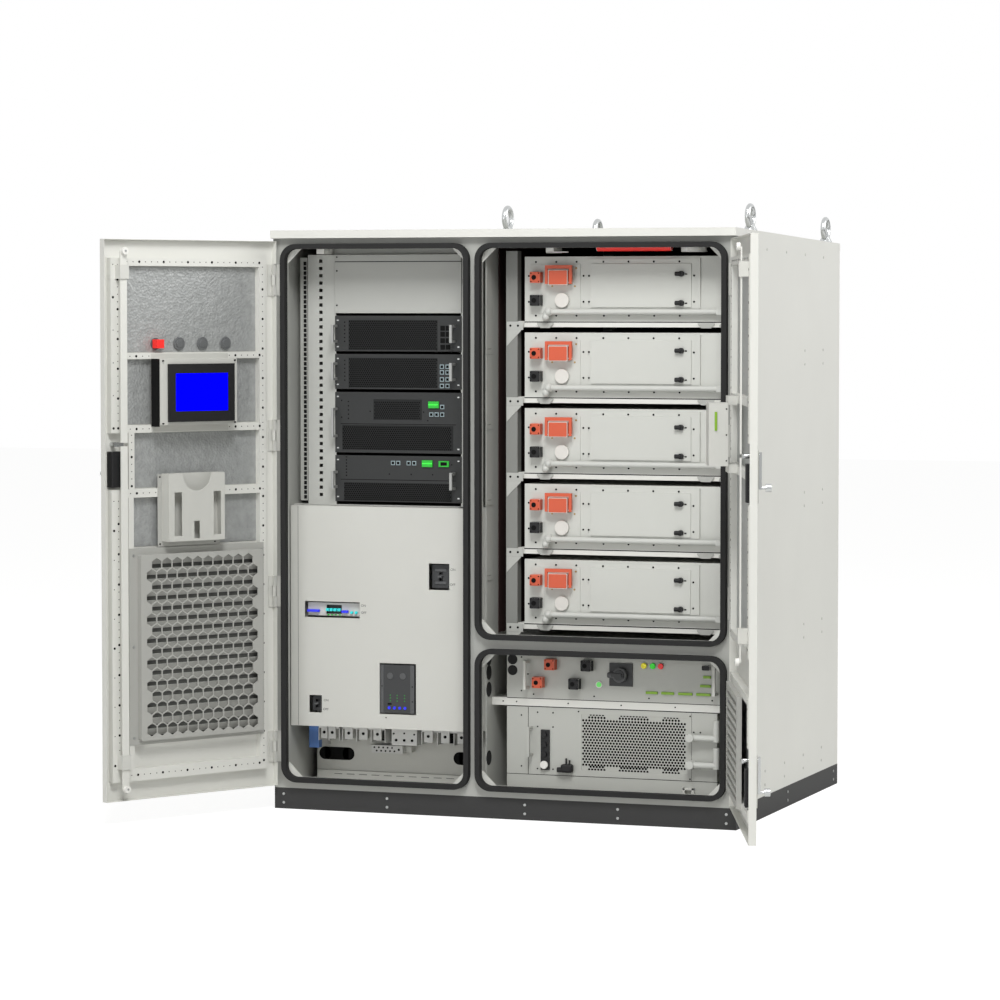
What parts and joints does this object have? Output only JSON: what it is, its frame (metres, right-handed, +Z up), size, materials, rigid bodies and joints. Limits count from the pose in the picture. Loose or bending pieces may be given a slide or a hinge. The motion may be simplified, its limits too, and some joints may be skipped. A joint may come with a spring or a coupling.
{
  "type": "outdoor battery cabinet",
  "caption": "Outdoor energy storage cabinet with two hinged doors, an electronics rack on the left and a rack of liquid cooled battery packs on the right.",
  "frame": {"origin": "centre of the four floor anchor holes, on the floor under the plinth", "axes": "+Z up, +Y to the back, +X to the right seen from the doors"},
  "size_m": [2.4567, 2.2778, 2.1424],
  "materials": {
    "cabinet_paint": "light warm grey powder coat",
    "plinth_paint": "dark grey powder coat",
    "zinc": "zinc plated steel",
    "rack_paint": "dark grey textured paint",
    "pack_paint": "light grey satin paint",
    "orange_plastic": "moulded orange",
    "seal_rubber": "EPDM foam",
    "black_plastic": "moulded nylon",
    "red_plastic": "moulded red",
    "screen_glass": "display front",
    "pipe_plastic": "pale grey hose",
    "switch_plastic": "light grey moulded"
  },
  "bodies": {
    "cabinet": {"battery_packs": "pack_paint", "bay_posts": "cabinet_paint", "bay_shelves": "cabinet_paint", "cable_duct": "switch_plastic", "ceiling_fittings": "switch_plastic", "chiller_unit": "pack_paint", "coolant_pipes": "pipe_plastic", "distribution_cover": "cabinet_paint", "door_seals": "seal_rubber", "equipment_plate": "cabinet_paint", "floor_pan": "cabinet_paint", "frame_hinges": "cabinet_paint", "front_frame": "cabinet_paint", "hv_box": "pack_paint", "hv_fittings": "black_plastic", "inner_walls": "cabinet_paint", "lifting_eyes": "zinc", "pack_fittings": "pack_paint", "plinth": "plinth_paint", "rack_handles": "rack_paint", "rack_modules": "rack_paint", "rack_posts": "cabinet_paint", "rear_panel": "cabinet_paint", "roof_cap": "cabinet_paint", "side_panels": "cabinet_paint", "switchgear": "black_plastic", "terminal_bars": "switch_plastic"},
    "left_door": {"left_door_skin": "cabinet_paint", "left_door_frame": "cabinet_paint", "filter_grille": "cabinet_paint", "document_pocket": "cabinet_paint", "display_bracket": "cabinet_paint", "display_unit": "screen_glass", "pilot_lamps": "black_plastic", "left_lock_plates": "cabinet_paint", "left_door_hinges": "cabinet_paint"},
    "right_door": {"right_door_skin": "cabinet_paint", "right_door_frame": "cabinet_paint", "door_control_box": "switch_plastic", "right_lock_plates": "cabinet_paint", "right_door_hinges": "cabinet_paint", "right_filter": "cabinet_paint"},
    "left_lock_handle": {"left_lock_handle": "zinc"},
    "left_upper_rod": {"left_lock_upper_rod": "cabinet_paint"},
    "left_lower_rod": {"left_lock_lower_rod": "cabinet_paint"},
    "right_lock_handle": {"right_lock_handle": "zinc"},
    "right_upper_rod": {"right_lock_upper_rod": "cabinet_paint"},
    "right_lower_rod": {"right_lock_lower_rod": "cabinet_paint"},
    "low_lock_handle": {"low_lock_handle": "zinc"},
    "emergency_stop": {"emergency_stop": "red_plastic"},
    "rotary_knob": {"rotary_knob": "black_plastic"},
    "hv_button": {"hv_button": "switch_plastic"},
    "grid_toggle": {"grid_breaker_toggle": "black_plastic"},
    "auxiliary_toggle": {"din_breaker_toggle": "black_plastic"},
    "load_toggle": {"load_breaker_toggle": "black_plastic"},
    "service_lever_1": {"service_lever_1": "orange_plastic"},
    "service_lever_2": {"service_lever_2": "orange_plastic"},
    "service_lever_3": {"service_lever_3": "orange_plastic"},
    "service_lever_4": {"service_lever_4": "orange_plastic"},
    "service_lever_5": {"service_lever_5": "orange_plastic"}
  },
  "joints": [
    {"name": "left_door_hinge", "type": "hinge", "parent": "cabinet", "child": "left_door", "pos_m": [-0.846, -0.696, 1], "axis": [0, 0, 1], "range_deg": [-8, 119.2]},
    {"name": "right_door_hinge", "type": "hinge", "parent": "cabinet", "child": "right_door", "pos_m": [0.846, -0.696, 1], "axis": [0, 0, 1], "range_deg": [-110, 8]},
    {"name": "left_lock_turn", "type": "hinge", "parent": "left_door", "child": "left_lock_handle", "pos_m": [-1.18506, -1.30268, 1.315], "axis": [0.8729, -0.4879, 0], "range_deg": [0, 90]},
    {"name": "right_lock_turn", "type": "hinge", "parent": "right_door", "child": "right_lock_handle", "pos_m": [1.15023, -1.53186, 1.315], "axis": [0.9397, 0.342, 0], "range_deg": [0, 90]},
    {"name": "low_lock_turn", "type": "hinge", "parent": "right_door", "child": "low_lock_handle", "pos_m": [1.15023, -1.53186, 0.348], "axis": [0.9397, 0.342, 0], "range_deg": [0, 90]},
    {"name": "left_upper_rod_slide", "type": "slide", "parent": "left_door", "child": "left_upper_rod", "axis": [0, 0, 1], "range_m": [0, 0.018]},
    {"name": "left_lower_rod_slide", "type": "slide", "parent": "left_door", "child": "left_lower_rod", "axis": [0, 0, -1], "range_m": [0, 0.018]},
    {"name": "right_upper_rod_slide", "type": "slide", "parent": "right_door", "child": "right_upper_rod", "axis": [0, 0, 1], "range_m": [0, 0.018]},
    {"name": "right_lower_rod_slide", "type": "slide", "parent": "right_door", "child": "right_lower_rod", "axis": [0, 0, -1], "range_m": [0, 0.018]},
    {"name": "emergency_stop_press", "type": "slide", "parent": "left_door", "child": "emergency_stop", "axis": [0.8729, -0.4879, 0], "range_m": [0, 0.005]},
    {"name": "rotary_turn", "type": "hinge", "parent": "cabinet", "child": "rotary_knob", "pos_m": [0.413, -0.59, 0.511], "axis": [0, -1, 0], "range_deg": [0, 90]},
    {"name": "hv_button_press", "type": "slide", "parent": "cabinet", "child": "hv_button", "axis": [0, 1, 0], "range_m": [0, 0.0025], "stiffness_N_per_m": 400},
    {"name": "grid_toggle_throw", "type": "hinge", "parent": "cabinet", "child": "grid_toggle", "pos_m": [-0.2585, -0.573, 0.8355], "axis": [1, 0, 0], "range_deg": [-25, 25]},
    {"name": "auxiliary_toggle_throw", "type": "hinge", "parent": "cabinet", "child": "auxiliary_toggle", "pos_m": [-0.6655, -0.573, 0.7085], "axis": [1, 0, 0], "range_deg": [-25, 25]},
    {"name": "load_toggle_throw", "type": "hinge", "parent": "cabinet", "child": "load_toggle", "pos_m": [-0.73, -0.573, 0.37], "axis": [1, 0, 0], "range_deg": [-25, 25]},
    {"name": "service_lever_1_swing", "type": "hinge", "parent": "cabinet", "child": "service_lever_1", "pos_m": [0.1835, -0.594, 1.87], "axis": [1, 0, 0], "range_deg": [0, 90]},
    {"name": "service_lever_2_swing", "type": "hinge", "parent": "cabinet", "child": "service_lever_2", "pos_m": [0.1835, -0.594, 1.606], "axis": [1, 0, 0], "range_deg": [0, 90]},
    {"name": "service_lever_3_swing", "type": "hinge", "parent": "cabinet", "child": "service_lever_3", "pos_m": [0.1835, -0.594, 1.342], "axis": [1, 0, 0], "range_deg": [0, 90]},
    {"name": "service_lever_4_swing", "type": "hinge", "parent": "cabinet", "child": "service_lever_4", "pos_m": [0.1835, -0.594, 1.078], "axis": [1, 0, 0], "range_deg": [0, 90]},
    {"name": "service_lever_5_swing", "type": "hinge", "parent": "cabinet", "child": "service_lever_5", "pos_m": [0.1835, -0.594, 0.814], "axis": [1, 0, 0], "range_deg": [0, 90]}
  ],
  "couplings": [
    {"joint": "left_upper_rod_slide", "follows": "left_lock_turn", "m_per_rad": 0.011458},
    {"joint": "left_lower_rod_slide", "follows": "left_lock_turn", "m_per_rad": 0.011458},
    {"joint": "right_upper_rod_slide", "follows": "right_lock_turn", "m_per_rad": 0.011458},
    {"joint": "right_lower_rod_slide", "follows": "right_lock_turn", "m_per_rad": 0.011458}
  ]
}
